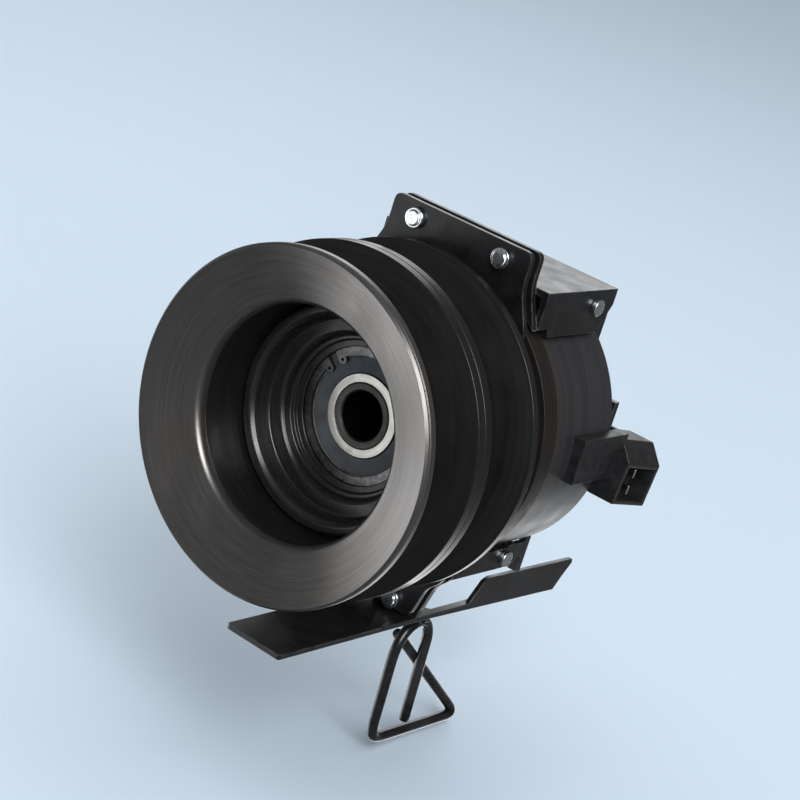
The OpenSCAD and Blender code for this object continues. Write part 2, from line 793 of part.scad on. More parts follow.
// The terminal blades stand one over the other; blade_z is a blade's lower edge.
blade_y = 15.7;
blade_t = 1.6;
blade_w = 4.5;
function blade_z(i) = -0.25 - i * 8.5;

// Terminals: two upright blades in the socket.
module connector_terminals() {
  color([0.85, 0.8, 0.6]) plug_frame() for (i = [0, 1])
    translate([-12, blade_y, blade_z(i)]) cube([15, blade_t, blade_w]);
}

// Lead wires from the coil through the shell's slot and the arm to the terminals.
module lead_wires() {
  color([0.6, 0.1, 0.1]) for (i = [0, 1]) tube(rounded([
    [coil_out - 1, 145 + i * 4, 3, 0], [69.5 - i * 3, 145 + i * 4, 3, 1.2],
    [69.5 - i * 3, 157, 3, 1.2], [64.6 - i * 2.8, 166.5, 1.6, 1.2],
    [64.6 - i * 2.8, 176 - i * 4, -2 - i * 3, 1.2], [64 - i, 181.2 - i * 1.2, -6.4 - i * 8.4, 0]
  ], 4), 1, 8);
}

pulley_front_flange();
pulley_mid_flange_front();
pulley_mid_flange_rear();
pulley_rear_flange();
pulley_drum();
pulley_hub();
pulley_bearing_outer_race();
pulley_bearing_seals();
bearing_snap_ring();
armature_leaf_springs();
leaf_spring_rivets();
armature_plate();
armature_rivets();
pulley_bearing_balls();
pulley_bearing_cage();
field_bearing_balls();
field_bearing_cage();
hub_sleeve();
rotor_disc();
rotor_hub();
spacer_collar();
pulley_bearing_inner_race();
field_bearing_inner_race();
sleeve_retaining_ring();
field_shell();
coil_bobbin();
coil_winding();
coil_potting();
field_bearing_outer_race();
field_bearing_seals();
field_bearing_snap_ring();
rear_plate();
rear_plate_screws();
bracket_top();
bracket_bottom();
bracket_bolts();
bracket_nuts();
brake_plate();
brake_pads();
brake_studs();
brake_springs();
brake_nuts();
keeper_plate();
keeper_wire();
connector_arm();
connector_housing();
connector_terminals();
lead_wires();
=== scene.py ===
import json
import math

import bmesh
import bpy
from mathutils import Matrix, Vector


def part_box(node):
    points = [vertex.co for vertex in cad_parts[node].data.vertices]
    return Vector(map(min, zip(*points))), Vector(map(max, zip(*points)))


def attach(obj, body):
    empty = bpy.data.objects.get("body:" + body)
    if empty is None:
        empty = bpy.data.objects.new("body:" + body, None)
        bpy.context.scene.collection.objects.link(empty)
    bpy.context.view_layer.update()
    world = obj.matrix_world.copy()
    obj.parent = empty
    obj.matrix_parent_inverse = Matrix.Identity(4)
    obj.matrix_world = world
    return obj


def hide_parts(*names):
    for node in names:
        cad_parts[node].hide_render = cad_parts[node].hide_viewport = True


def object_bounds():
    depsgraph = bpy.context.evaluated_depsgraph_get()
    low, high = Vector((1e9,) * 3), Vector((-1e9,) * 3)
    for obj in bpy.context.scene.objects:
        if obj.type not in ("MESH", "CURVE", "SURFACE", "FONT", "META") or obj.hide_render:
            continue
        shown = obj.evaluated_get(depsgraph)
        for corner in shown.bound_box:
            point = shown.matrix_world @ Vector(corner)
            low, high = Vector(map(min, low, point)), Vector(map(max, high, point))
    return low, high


# Electromagnetic clutch. Everything is in metres in the CAD model's frame: the shaft runs along Y,
# the pulley's dished face looks to -Y and +Z is up. Small sizes are written in millimetres times MM.

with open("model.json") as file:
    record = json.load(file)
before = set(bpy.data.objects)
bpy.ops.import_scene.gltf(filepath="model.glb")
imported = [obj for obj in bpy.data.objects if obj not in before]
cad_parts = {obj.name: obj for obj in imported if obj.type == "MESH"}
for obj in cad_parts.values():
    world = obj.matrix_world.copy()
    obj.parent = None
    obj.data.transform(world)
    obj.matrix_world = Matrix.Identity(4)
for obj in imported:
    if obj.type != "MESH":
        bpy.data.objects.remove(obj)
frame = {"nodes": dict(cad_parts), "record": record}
cad_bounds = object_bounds()

MM = 0.001
NODE_BODY = {n: body for body, names in frame["record"]["behaviour"]["bodies"].items() for n in names}
NODE_SLOT = {part["node"]: part["material_slot"] for part in frame["record"]["subparts"]}

rim_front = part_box("pulley_front_flange")[0].y
rim_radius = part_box("pulley_front_flange")[1].x
lowest = cad_bounds[0].z

SAME_POINT = 1e-6     # vertices of a CAD mesh that are closer than this are one
NEAR = 0.6 * MM       # a stated corner means the section's corner that is closer to it than this


# ---------- camera, floor and light ----------

def direction(azimuth, elevation):
    """The unit direction towards a place seen from the object; azimuth 0 is -Y and 90 is +X."""
    a, e = math.radians(azimuth), math.radians(elevation)
    return Vector((math.sin(a) * math.cos(e), -math.cos(a) * math.cos(e), math.sin(e)))


def add_camera():
    """The picture's viewing angle: from the right and above, with the camera rolled on its own axis."""
    azimuth, elevation, roll = 32.0, 17.1, 17.6
    distance, sideways, upward = 924.3 * MM, 52.5 * MM, 11.8 * MM
    back = direction(azimuth, elevation)
    level = Vector((math.cos(math.radians(azimuth)), math.sin(math.radians(azimuth)), 0))
    tilt = math.radians(roll)
    up = back.cross(level) * math.cos(tilt) - level * math.sin(tilt)
    right = up.cross(back)
    data = bpy.data.cameras.new("camera")
    data.lens = 99
    data.sensor_width = 36
    camera = bpy.data.objects.new("camera", data)
    place = Vector((0, rim_front, 0)) + back * distance + right * sideways + up * upward
    camera.matrix_world = Matrix.Translation(place) @ Matrix((right, up, back)).transposed().to_4x4()
    bpy.context.scene.collection.objects.link(camera)
    bpy.context.scene.camera = camera
    bpy.context.scene.view_settings.view_transform = "Standard"


def floor_paper():
    """Matt pale blue paper, with faint clouds in its colour."""
    darker, lighter = (0.525, 0.620, 0.715, 1), (0.545, 0.640, 0.735, 1)
    paper = bpy.data.materials.new("floor_paper")
    paper.use_nodes = True
    tree = paper.node_tree
    shader = tree.nodes["Principled BSDF"]
    shader.inputs["Roughness"].default_value = 0.9
    shader.inputs["Specular IOR Level"].default_value = 0.0
    where = tree.nodes.new("ShaderNodeTexCoord")
    clouds = tree.nodes.new("ShaderNodeTexNoise")
    clouds.inputs["Scale"].default_value = 3.0
    ramp = tree.nodes.new("ShaderNodeValToRGB")
    ramp.color_ramp.elements[0].color = darker
    ramp.color_ramp.elements[1].color = lighter
    tree.links.new(where.outputs["Object"], clouds.inputs["Vector"])
    tree.links.new(clouds.outputs["Fac"], ramp.inputs["Fac"])
    tree.links.new(ramp.outputs["Color"], shader.inputs["Base Color"])
    return paper


def add_floor():
    """A wide floor just under the wire loop. It isn't seen in reflections."""
    half_width, gap = 8.0, 2 * MM
    bm = bmesh.new()
    bmesh.ops.create_grid(bm, x_segments=8, y_segments=8, size=half_width)
    mesh = bpy.data.meshes.new("floor")
    bm.to_mesh(mesh)
    bm.free()
    mesh.materials.append(floor_paper())
    floor = bpy.data.objects.new("floor", mesh)
    floor.location.z = lowest - gap
    floor.visible_glossy = False
    bpy.context.scene.collection.objects.link(floor)


# Soft boxes round the object: azimuth, elevation, angle from the middle to the edge, softness, strength.
SOFT_BOXES = [
    (-82, -26, 22, 16, 3.2),    # low on the left, seen in the right side of the dished face
    (-148, 18, 13, 9, 1.9),     # high behind on the left, seen in the bracket's top face
    (50, 32, 16, 8, 10.0),      # high on the right, lights the floor and shows in the mouth's lip and the hub
    (-32, -17, 11, 8, 1.3),     # low in front, seen in the bearing's face
    (-165, -32, 18, 14, 2.2),   # low behind, seen in the shell's lower side
]


def soft_box(tree, towards, azimuth, elevation, reach, softness, strength):
    """The light of one soft box towards a direction: its strength inside its edge, fading to nothing."""
    dot = tree.nodes.new("ShaderNodeVectorMath")
    dot.operation = "DOT_PRODUCT"
    dot.inputs[1].default_value = direction(azimuth, elevation)
    tree.links.new(towards, dot.inputs[0])
    fade = tree.nodes.new("ShaderNodeMapRange")
    fade.interpolation_type = "SMOOTHSTEP"
    fade.inputs["From Min"].default_value = math.cos(math.radians(reach + softness))
    fade.inputs["From Max"].default_value = math.cos(math.radians(reach - softness))
    fade.inputs["To Max"].default_value = strength
    tree.links.new(dot.outputs["Value"], fade.inputs["Value"])
    return fade.outputs["Result"]


def add_world():
    """A dim studio with soft boxes for light and gloss, and the floor's pale blue where it is seen."""
    dim_light, light_colour = 0.14, (0.97, 0.985, 1.0, 1)
    seen_colour = (0.535, 0.635, 0.725, 1)
    world = bpy.data.worlds.new("studio")
    bpy.context.scene.world = world
    world.use_nodes = True
    tree = world.node_tree
    tree.nodes.clear()
    towards = tree.nodes.new("ShaderNodeTexCoord").outputs["Generated"]
    boxes = [soft_box(tree, towards, *box) for box in SOFT_BOXES]
    total = boxes[0]
    for box in boxes[1:]:
        both = tree.nodes.new("ShaderNodeMath")
        tree.links.new(total, both.inputs[0])
        tree.links.new(box, both.inputs[1])
        total = both.outputs["Value"]
    everywhere = tree.nodes.new("ShaderNodeMath")
    everywhere.inputs[1].default_value = dim_light
    tree.links.new(total, everywhere.inputs[0])
    studio = tree.nodes.new("ShaderNodeBackground")
    studio.inputs["Color"].default_value = light_colour
    tree.links.new(everywhere.outputs["Value"], studio.inputs["Strength"])
    seen = tree.nodes.new("ShaderNodeBackground")
    seen.inputs["Color"].default_value = seen_colour
    path = tree.nodes.new("ShaderNodeLightPath")
    mix = tree.nodes.new("ShaderNodeMixShader")
    tree.links.new(path.outputs["Is Camera Ray"], mix.inputs["Fac"])
    tree.links.new(studio.outputs["Background"], mix.inputs[1])
    tree.links.new(seen.outputs["Background"], mix.inputs[2])
    out = tree.nodes.new("ShaderNodeOutputWorld")
    tree.links.new(mix.outputs["Shader"], out.inputs["Surface"])


def add_overhead_light():
    """One big square light overhead, for an evenly lit floor and a soft shadow."""
    place, aim = Vector((0, -0.3, 2.6)), Vector((0, 0, 0))
    data = bpy.data.lights.new("overhead", "AREA")
    data.size = 4.0
    data.energy = 76
    light = bpy.data.objects.new("overhead", data)
    light.location = place
    light.rotation_mode = "QUATERNION"
    light.rotation_quaternion = (aim - place).to_track_quat("-Z", "Y")
    light.visible_glossy = False
    bpy.context.scene.collection.objects.link(light)


# ---------- materials ----------

class Paint:
    """A procedural material: helpers that add nodes to one Principled shader."""

    COLOUR_A, COLOUR_B, COLOUR_RESULT = 6, 7, 2     # the Mix node's sockets for colours

    def __init__(self, name, metallic=0.0):
        self.material = bpy.data.materials.new(name)
        self.material.use_nodes = True
        self.tree = self.material.node_tree
        self.shader = self.tree.nodes["Principled BSDF"]
        self.shader.inputs["Metallic"].default_value = metallic
        self.place = self.node("ShaderNodeTexCoord").outputs["Object"]
        self.normal = None

    def node(self, kind, **settings):
        """A new node of that kind, with its settings."""
        made = self.tree.nodes.new(kind)
        for key, value in settings.items():
            setattr(made, key, value)
        return made

    def join(self, source, target):
        """Links an output socket to an input socket."""
        self.tree.links.new(source, target)

    def value(self, name, number):
        """Sets one of the shader's own sockets to a constant."""
        self.shader.inputs[name].default_value = number

    def math(self, operation, a, b):
        """The result of an operation on a and b, which are sockets or numbers."""
        node = self.node("ShaderNodeMath", operation=operation)
        for socket, source in zip(node.inputs, (a, b)):
            if isinstance(source, (int, float)):
                socket.default_value = source
            else:
                self.join(source, socket)
        return node.outputs["Value"]

    def noise(self, scale, detail=4.0, vector=None, roughness=0.5):
        """Noise from 0 to 1; scale is in features for each metre."""
        node = self.node("ShaderNodeTexNoise")
        node.inputs["Scale"].default_value = scale
        node.inputs["Detail"].default_value = detail
        node.inputs["Roughness"].default_value = roughness
        self.join(vector or self.place, node.inputs["Vector"])
        return node.outputs["Fac"]

    def turned(self, unevenness=0.06):
        """Coordinates in which features run round the shaft, as a lathe tool leaves them. They run less
        evenly where unevenness is larger."""
        parts = self.node("ShaderNodeSeparateXYZ")
        self.join(self.place, parts.inputs["Vector"])
        square = self.math("ADD", self.math("MULTIPLY", parts.outputs["X"], parts.outputs["X"]),
                           self.math("MULTIPLY", parts.outputs["Z"], parts.outputs["Z"]))
        radius = self.math("SQRT", square, 0)
        around = self.node("ShaderNodeCombineXYZ")
        self.join(radius, around.inputs["X"])
        self.join(parts.outputs["Y"], around.inputs["Y"])
        self.join(self.math("MULTIPLY", parts.outputs["X"], unevenness), around.inputs["Z"])
        return around.outputs["Vector"]

    def stretched(self, along, factor=0.04):
        """Coordinates in which features are drawn out along one axis, as brushing leaves them."""
        scale = [1.0, 1.0, 1.0]
        scale[along] = factor
        node = self.node("ShaderNodeMapping")
        node.inputs["Scale"].default_value = scale
        self.join(self.place, node.inputs["Vector"])
        return node.outputs["Vector"]

    def ramp(self, factor, low, high, start=0.35, end=0.65):
        """A blend from colour low to colour high as factor goes from start to end."""
        node = self.node("ShaderNodeValToRGB")
        first, last = node.color_ramp.elements
        first.position, last.position = start, end
        first.color, last.color = (*low, 1), (*high, 1)
        self.join(factor, node.inputs["Fac"])
        return node.outputs["Color"]

    def spread(self, factor, low, high, start=0.3, end=0.7):
        """A number that goes from low to high as factor goes from start to end."""
        node = self.node("ShaderNodeMapRange")
        for name, number in (("From Min", start), ("From Max", end), ("To Min", low), ("To Max", high)):
            node.inputs[name].default_value = number
        self.join(factor, node.inputs["Value"])
        return node.outputs["Result"]

    def blend(self, factor, first, second):
        """A mix of a colour socket and a second colour, which is three numbers."""
        node = self.node("ShaderNodeMix", data_type="RGBA")
        self.join(factor, node.inputs["Factor"])
        self.join(first, node.inputs[self.COLOUR_A])
        node.inputs[self.COLOUR_B].default_value = (*second, 1)
        return node.outputs[self.COLOUR_RESULT]

    def worn_and_highlit_edges(self, reach=0.8 * MM, most=0.8):
        """Up to most along edges, where the coat has rubbed thin and where a painted highlight stands in for
        the gleam of rounded edges, broken up by noise.
        """
        sharp, flat = 0.86, 0.985     # the bevelled normal along the true one, at an edge and off it
        rounded_off = self.node("ShaderNodeBevel", samples=6)
        rounded_off.inputs["Radius"].default_value = reach
        dot = self.node("ShaderNodeVectorMath", operation="DOT_PRODUCT")
        self.join(rounded_off.outputs["Normal"], dot.inputs[0])
        self.join(self.node("ShaderNodeNewGeometry").outputs["Normal"], dot.inputs[1])
        # painted highlight and wear: lighter where the bevelled normal turns away from the true one, along
        # edges
        edge = self.spread(dot.outputs["Value"], most, 0, sharp, flat)
        patchy = self.spread(self.noise(180), 0.1, 1.0, 0.38, 0.62)
        return self.math("MULTIPLY", edge, patchy)

    def colour(self, socket):
        """Takes the base colour from a socket."""
        self.join(socket, self.shader.inputs["Base Color"])

    def rough(self, socket):
        """Takes the roughness from a socket."""
        self.join(socket, self.shader.inputs["Roughness"])

    def bump(self, height, depth, strength=1.0):
        """Adds a bump of that depth in metres on top of those before it."""
        node = self.node("ShaderNodeBump")
        node.inputs["Strength"].default_value = strength
        node.inputs["Distance"].default_value = depth
        self.join(height, node.inputs["Height"])
        if self.normal is not None:
            self.join(self.normal, node.inputs["Normal"])
        self.normal = node.outputs["Normal"]
        self.join(self.normal, self.shader.inputs["Normal"])


def turned_satin():
    """Satin brown-black finish over turned steel, with fine lathe rings."""
    paint = Paint("turned_satin", metallic=0.85)
    rings = paint.noise(900, detail=6, vector=paint.turned(), roughness=0.7)
    clouds = paint.noise(22, detail=3)
    base = paint.ramp(rings, (0.118, 0.114, 0.111), (0.170, 0.165, 0.160))
    base = paint.blend(paint.spread(clouds, 0, 0.35), base, (0.13, 0.11, 0.095))
    # lighter edges: partly rubbed coat, partly painted highlight
    paint.colour(paint.blend(paint.worn_and_highlit_edges(reach=0.5 * MM, most=0.6), base, (0.42, 0.40, 0.38)))
    paint.rough(paint.spread(paint.noise(60, detail=5, vector=paint.turned(unevenness=1.0)), 0.27, 0.37))
    paint.bump(rings, depth=0.012 * MM, strength=0.5)
    paint.bump(paint.noise(1500, detail=2), depth=0.006 * MM, strength=0.35)
    return paint.material


def groove_black():
    """Smooth glossy black coat over a spun steel wall."""
    paint = Paint("groove_black")
    paint.value("Specular IOR Level", 0.4)
    rings = paint.noise(420, detail=5, vector=paint.turned(), roughness=0.6)
    base = paint.ramp(rings, (0.004, 0.004, 0.004), (0.009, 0.009, 0.008))
    # lighter edges: partly rubbed coat, partly painted highlight
    paint.colour(paint.blend(paint.worn_and_highlit_edges(reach=0.7 * MM, most=0.55), base, (0.12, 0.115, 0.11)))
    paint.rough(paint.spread(paint.noise(70), 0.26, 0.36))
    paint.value("Coat Weight", 0.15)
    paint.value("Coat Roughness", 0.12)
    paint.bump(rings, depth=0.010 * MM, strength=0.5)
    return paint.material


def hub_black():
    """Semi-gloss black coat over pressed steps."""
    paint = Paint("hub_black", metallic=0.25)
    paint.value("Specular IOR Level", 0.8)
    rings = paint.noise(500, detail=5, vector=paint.turned(), roughness=0.6)
    base = paint.ramp(rings, (0.010, 0.010, 0.009), (0.022, 0.021, 0.020))
    # lighter edges: partly rubbed coat, partly painted highlight
    paint.colour(paint.blend(paint.worn_and_highlit_edges(reach=0.4 * MM, most=0.3), base, (0.30, 0.29, 0.28)))
    paint.rough(paint.spread(paint.noise(110), 0.22, 0.34))
    paint.bump(rings, depth=0.012 * MM, strength=0.5)
    paint.bump(paint.noise(380, detail=2), depth=0.02 * MM, strength=0.25)
    return paint.material


def bearing_steel():
    """Ground bearing steel, bright and slightly warm."""
    paint = Paint("bearing_steel", metallic=1.0)
    rings = paint.noise(1400, detail=4, vector=paint.turned(), roughness=0.6)
    paint.colour(paint.ramp(rings, (0.42, 0.41, 0.38), (0.52, 0.51, 0.48)))
    paint.rough(paint.spread(paint.noise(200), 0.2, 0.3))
    paint.bump(rings, depth=0.005 * MM, strength=0.5)
    return paint.material


def cage_brass():
    """Pressed brass cage, dulled by grease."""
    paint = Paint("cage_brass", metallic=1.0)
    paint.colour(paint.ramp(paint.noise(120), (0.48, 0.36, 0.18), (0.66, 0.52, 0.29)))
    paint.rough(paint.spread(paint.noise(260), 0.28, 0.42))
    paint.bump(paint.noise(900), depth=0.01 * MM)
    return paint.material


def seal_rubber():
    """Moulded bluish-grey nitrile with dust in places."""
    paint = Paint("seal_rubber")
    base = paint.ramp(paint.noise(160, detail=5), (0.070, 0.073, 0.080), (0.105, 0.110, 0.120))
    dust = paint.spread(paint.noise(900, detail=4), 0, 0.5, start=0.62, end=0.78)
    paint.colour(paint.blend(dust, base, (0.2, 0.21, 0.23)))
    paint.rough(paint.spread(paint.noise(300), 0.42, 0.58))
    paint.bump(paint.noise(2200, detail=2), depth=0.012 * MM)
    paint.bump(paint.noise(800, detail=3, vector=paint.turned()), depth=0.02 * MM, strength=0.5)
    return paint.material


def spring_steel():
    """Hardened spring steel with a light oil film."""
    paint = Paint("spring_steel", metallic=1.0)
    paint.colour(paint.ramp(paint.noise(340), (0.10, 0.10, 0.10), (0.16, 0.16, 0.165)))
    paint.rough(paint.spread(paint.noise(500), 0.22, 0.36))
    paint.bump(paint.noise(1200), depth=0.008 * MM)
    return paint.material


def zinc_plate():
    """Bright zinc plate with faint spangle, slightly blue in its darker cells."""
    paint = Paint("zinc_plate", metallic=1.0)
    cells = paint.node("ShaderNodeTexVoronoi", feature="F1")
    cells.inputs["Scale"].default_value = 700
    paint.join(paint.place, cells.inputs["Vector"])
    spangle = cells.outputs["Distance"]
    paint.colour(paint.ramp(spangle, (0.74, 0.79, 0.82), (0.90, 0.93, 0.93), start=0.1, end=0.7))
    paint.rough(paint.spread(paint.noise(500), 0.16, 0.30))
    paint.bump(spangle, depth=0.012 * MM, strength=0.5)
    return paint.material


def magnet_iron():
    """Machined soft iron under a thin black oxide, brown in places."""
    paint = Paint("magnet_iron", metallic=0.5)
    rings = paint.noise(700, detail=5, vector=paint.turned(), roughness=0.7)
    base = paint.ramp(rings, (0.012, 0.011, 0.010), (0.026, 0.023, 0.020))
    paint.colour(paint.blend(paint.spread(paint.noise(40), 0, 0.6), base, (0.03, 0.02, 0.014)))
    paint.rough(paint.spread(paint.noise(120), 0.36, 0.56))
    paint.bump(rings, depth=0.015 * MM, strength=0.6)
    return paint.material


def sleeve_phosphate():
    """Dark olive-grey phosphate over turned steel, with painted shade inside the shaft bore, where it is
    coloured black.
    """
    paint = Paint("sleeve_phosphate", metallic=0.35)
    rings = paint.noise(900, detail=4, vector=paint.turned(), roughness=0.6)
    base = paint.ramp(rings, (0.095, 0.095, 0.083), (0.140, 0.139, 0.122))
    turned = paint.node("ShaderNodeSeparateXYZ")
    paint.join(paint.turned(), turned.inputs["Vector"])
    # painted shade: the bore's inside is coloured near black, fading out between these two radii
    fully_shaded_radius, unshaded_radius = 11.3 * MM, 12.0 * MM
    bore_shade = paint.spread(turned.outputs["X"], 1, 0, start=fully_shaded_radius, end=unshaded_radius)
    base = paint.blend(bore_shade, base, (0.006, 0.006, 0.006))
    # lighter edges: partly rubbed coat, partly painted highlight
    paint.colour(paint.blend(paint.worn_and_highlit_edges(), base, (0.6, 0.6, 0.57)))
    paint.rough(paint.spread(paint.noise(400), 0.42, 0.6))
    paint.bump(paint.noise(2500, detail=2), depth=0.012 * MM)
    return paint.material


def shell_paint():
    """Satin dark grey coat over a drawn steel cup, a little bronze near the open front."""
    paint = Paint("shell_paint", metallic=0.25)
    rings = paint.noise(300, detail=5, vector=paint.turned(), roughness=0.6)
    base = paint.ramp(rings, (0.022, 0.022, 0.023), (0.034, 0.034, 0.036))
    front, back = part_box("field_shell")[0].y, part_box("field_shell")[1].y
    band_share = 0.16
    parts = paint.node("ShaderNodeSeparateXYZ")
    paint.join(paint.place, parts.inputs["Vector"])
    band = paint.spread(parts.outputs["Y"], 1, 0, start=front, end=front + band_share * (back - front))
    band = paint.math("MULTIPLY", band, paint.spread(paint.noise(35), 0.2, 0.8))
    base = paint.blend(band, base, (0.050, 0.034, 0.022))
    # lighter edges: partly rubbed coat, partly painted highlight
    paint.colour(paint.blend(paint.worn_and_highlit_edges(), base, (0.33, 0.31, 0.29)))
    paint.rough(paint.spread(paint.noise(80), 0.34, 0.46))
    paint.bump(rings, depth=0.012 * MM, strength=0.5)
    paint.bump(paint.noise(700, detail=2), depth=0.02 * MM, strength=0.4)
    return paint.material


def bobbin_plastic():
    """Moulded glass-filled nylon, off-white."""
    paint = Paint("bobbin_plastic")
    paint.colour(paint.ramp(paint.noise(300, detail=6), (0.64, 0.58, 0.44), (0.78, 0.73, 0.6)))
    paint.rough(paint.spread(paint.noise(200), 0.42, 0.58))
    paint.bump(paint.noise(1600), depth=0.02 * MM)
    paint.value("Subsurface Weight", 0.05)
    return paint.material


def copper_wire():
    """Enamelled copper wire wound in even turns."""
    paint = Paint("copper_wire", metallic=1.0)
    turns = paint.node("ShaderNodeTexWave", wave_type="BANDS", bands_direction="Y")
    turns.inputs["Scale"].default_value = 330
    turns.inputs["Distortion"].default_value = 0.6
    paint.join(paint.turned(), turns.inputs["Vector"])
    paint.colour(paint.ramp(turns.outputs["Fac"], (0.30, 0.12, 0.05), (0.78, 0.40, 0.20), start=0.1, end=0.7))
    paint.rough(paint.spread(paint.noise(500), 0.22, 0.34))
    paint.bump(turns.outputs["Fac"], depth=0.25 * MM)
    return paint.material


def potting_resin():
    """Cast black epoxy with a slightly uneven surface."""
    paint = Paint("potting_resin")
    paint.colour(paint.ramp(paint.noise(90), (0.012, 0.012, 0.013), (0.03, 0.029, 0.028)))
    paint.rough(paint.spread(paint.noise(60), 0.14, 0.32))
    paint.bump(paint.noise(110, detail=3), depth=0.15 * MM, strength=0.6)
    return paint.material


def bracket_ecoat():
    """Satin black electro-coat over pressed sheet, rubbed thin and lighter grey along the edges: partly wear,
    partly painted highlight.
    """
    paint = Paint("bracket_ecoat")
    base = paint.ramp(paint.noise(120, detail=5), (0.005, 0.005, 0.0055), (0.011, 0.011, 0.012))
    # lighter edges: partly rubbed coat, partly painted highlight
    paint.colour(paint.blend(paint.worn_and_highlit_edges(), base, (0.20, 0.20, 0.20)))
    paint.rough(paint.spread(paint.noise(90, detail=5), 0.26, 0.40))
    paint.value("Specular IOR Level", 0.5)
    paint.bump(paint.noise(420, detail=2), depth=0.035 * MM, strength=0.5)
    paint.bump(paint.noise(1800, detail=2), depth=0.008 * MM, strength=0.6)
    return paint.material


def friction_pad():
    """Moulded friction compound with brass chips and grit."""
    paint = Paint("friction_pad")
    base = paint.ramp(paint.noise(500, detail=6), (0.14, 0.105, 0.075), (0.26, 0.20, 0.15))
    chips = paint.spread(paint.noise(1500, detail=2), 0, 1, start=0.66, end=0.72)
    paint.colour(paint.blend(chips, base, (0.6, 0.48, 0.26)))
    paint.rough(paint.spread(paint.noise(400), 0.7, 0.9))
    paint.bump(paint.noise(900, detail=5), depth=0.09 * MM)
    return paint.material


def wire_gunmetal():
    """Gunmetal coat over drawn wire, lighter in patches."""
    paint = Paint("wire_gunmetal", metallic=0.7)
    base = paint.ramp(paint.noise(260, detail=5), (0.016, 0.016, 0.017), (0.034, 0.034, 0.036))
    patches = paint.spread(paint.noise(45, detail=2), 0, 0.4, start=0.45, end=0.75)
    paint.colour(paint.blend(patches, base, (0.12, 0.12, 0.125)))
    paint.rough(paint.spread(paint.noise(120, detail=2), 0.20, 0.28))
    paint.bump(paint.noise(500, detail=2), depth=0.008 * MM, strength=0.5)
    return paint.material


def connector_plastic():
    """Moulded black nylon with spark-eroded grain."""
    paint = Paint("connector_plastic")
    base = paint.ramp(paint.noise(200, detail=4), (0.006, 0.006, 0.0065), (0.014, 0.014, 0.015))
    # lighter edges: partly rubbed coat, partly painted highlight
    paint.colour(paint.blend(paint.worn_and_highlit_edges(reach=0.5 * MM, most=0.6), base, (0.10, 0.10, 0.10)))
    paint.rough(paint.spread(paint.noise(150), 0.34, 0.50))
    paint.bump(paint.noise(2000, detail=2), depth=0.02 * MM, strength=0.7)
    return paint.material


def terminal_brass():
    """Tinned brass blades with rolling marks."""
    paint = Paint("terminal_brass", metallic=1.0)
    rolled = paint.noise(700, detail=3, vector=paint.stretched(along=0))
    paint.colour(paint.ramp(rolled, (0.70, 0.66, 0.52), (0.88, 0.86, 0.76)))
    paint.rough(paint.spread(paint.noise(400), 0.16, 0.28))
    paint.bump(paint.noise(1500, detail=3, vector=paint.stretched(along=0)), depth=0.006 * MM)
    return paint.material


def wire_insulation():
    """Extruded red insulation with a little dust."""
    paint = Paint("wire_insulation")
    paint.colour(paint.ramp(paint.noise(300), (0.34, 0.02, 0.02), (0.50, 0.045, 0.04)))
    paint.rough(paint.spread(paint.noise(500), 0.36, 0.5))
    paint.bump(paint.noise(1500), depth=0.01 * MM)
    return paint.material


MATERIALS = {make.__name__: make() for make in (
    turned_satin, groove_black, hub_black, bearing_steel, cage_brass, seal_rubber, spring_steel, zinc_plate,
    magnet_iron, sleeve_phosphate, shell_paint, bobbin_plastic, copper_wire, potting_resin, bracket_ecoat,
    friction_pad, wire_gunmetal, connector_plastic, terminal_brass, wire_insulation)}


def finish_piece(obj, node):
    """Gives a new piece its node's material, body and slot, and hides the node that it stands for."""
    obj.data.materials.clear()
    obj.data.materials.append(MATERIALS[NODE_SLOT[node]])
    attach(obj, NODE_BODY[node])
    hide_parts(node)


# ---------- turned pieces ----------

def section_loops(node):
    """The closed outlines of a turned CAD node, as lists of (radius, y), cut by a half plane through Y."""
    odd_turn, on_plane = 0.0137, 1e-7     # the turn in radians keeps the mesh's own seams off the plane
    bm = bmesh.new()
    bm.from_mesh(frame["nodes"][node].data)
    bmesh.ops.remove_doubles(bm, verts=bm.verts, dist=SAME_POINT)
    bm.transform(Matrix.Rotation(odd_turn, 4, "Y"))
    geometry = bm.verts[:] + bm.edges[:] + bm.faces[:]
    cut = bmesh.ops.bisect_plane(bm, geom=geometry, dist=on_plane, plane_co=(0, 0, 0), plane_no=(1, 0, 0))
    beside = neighbours(cut["geom_cut"])
    loops = []
    while beside:
        loops.append(corners_of(traced(beside)))
    bm.free()
    return loops


def neighbours(cut):
    """The vertices on the cut's upper half, each with those at the other ends of its edges."""
    too_short = 2e-6
    beside = {}
    for edge in cut:
        if not isinstance(edge, bmesh.types.BMEdge) or edge.verts[0].co.z <= 0:
            continue
        if edge.calc_length() <= too_short:
            continue
        for here, there in (edge.verts, reversed(edge.verts)):
            beside.setdefault(here, []).append(there)
    return beside


def traced(beside):
    """One outline as (radius, y) points. Its vertices are taken out of beside on the way."""
    outline = []
    here = next(iter(beside))
    while here is not None:
        outline.append((here.co.z, here.co.y))
        onward = [vertex for vertex in beside.pop(here) if vertex in beside]
        here = onward[0] if onward else None
    return outline


def corners_of(loop):
    """The loop without the points that lie on a straight line between their neighbours."""
    straight = math.radians(0.8)
    kept = []
    count = len(loop)
    for i, point in enumerate(loop):
        before = Vector(point) - Vector(loop[i - 1])
        after = Vector(loop[(i + 1) % count]) - Vector(point)
        if before.length > 0 and after.length > 0 and abs(before.angle_signed(after)) > straight:
            kept.append(point)
    return kept


def fillet_at(corner, fillet, special):
    """The fillet's radius at a corner; special gives other radii as (radius, y, fillet)."""
    for radius, y, wanted in special:
        if (Vector((radius, y)) - corner).length < NEAR:
            fillet = wanted
    return fillet


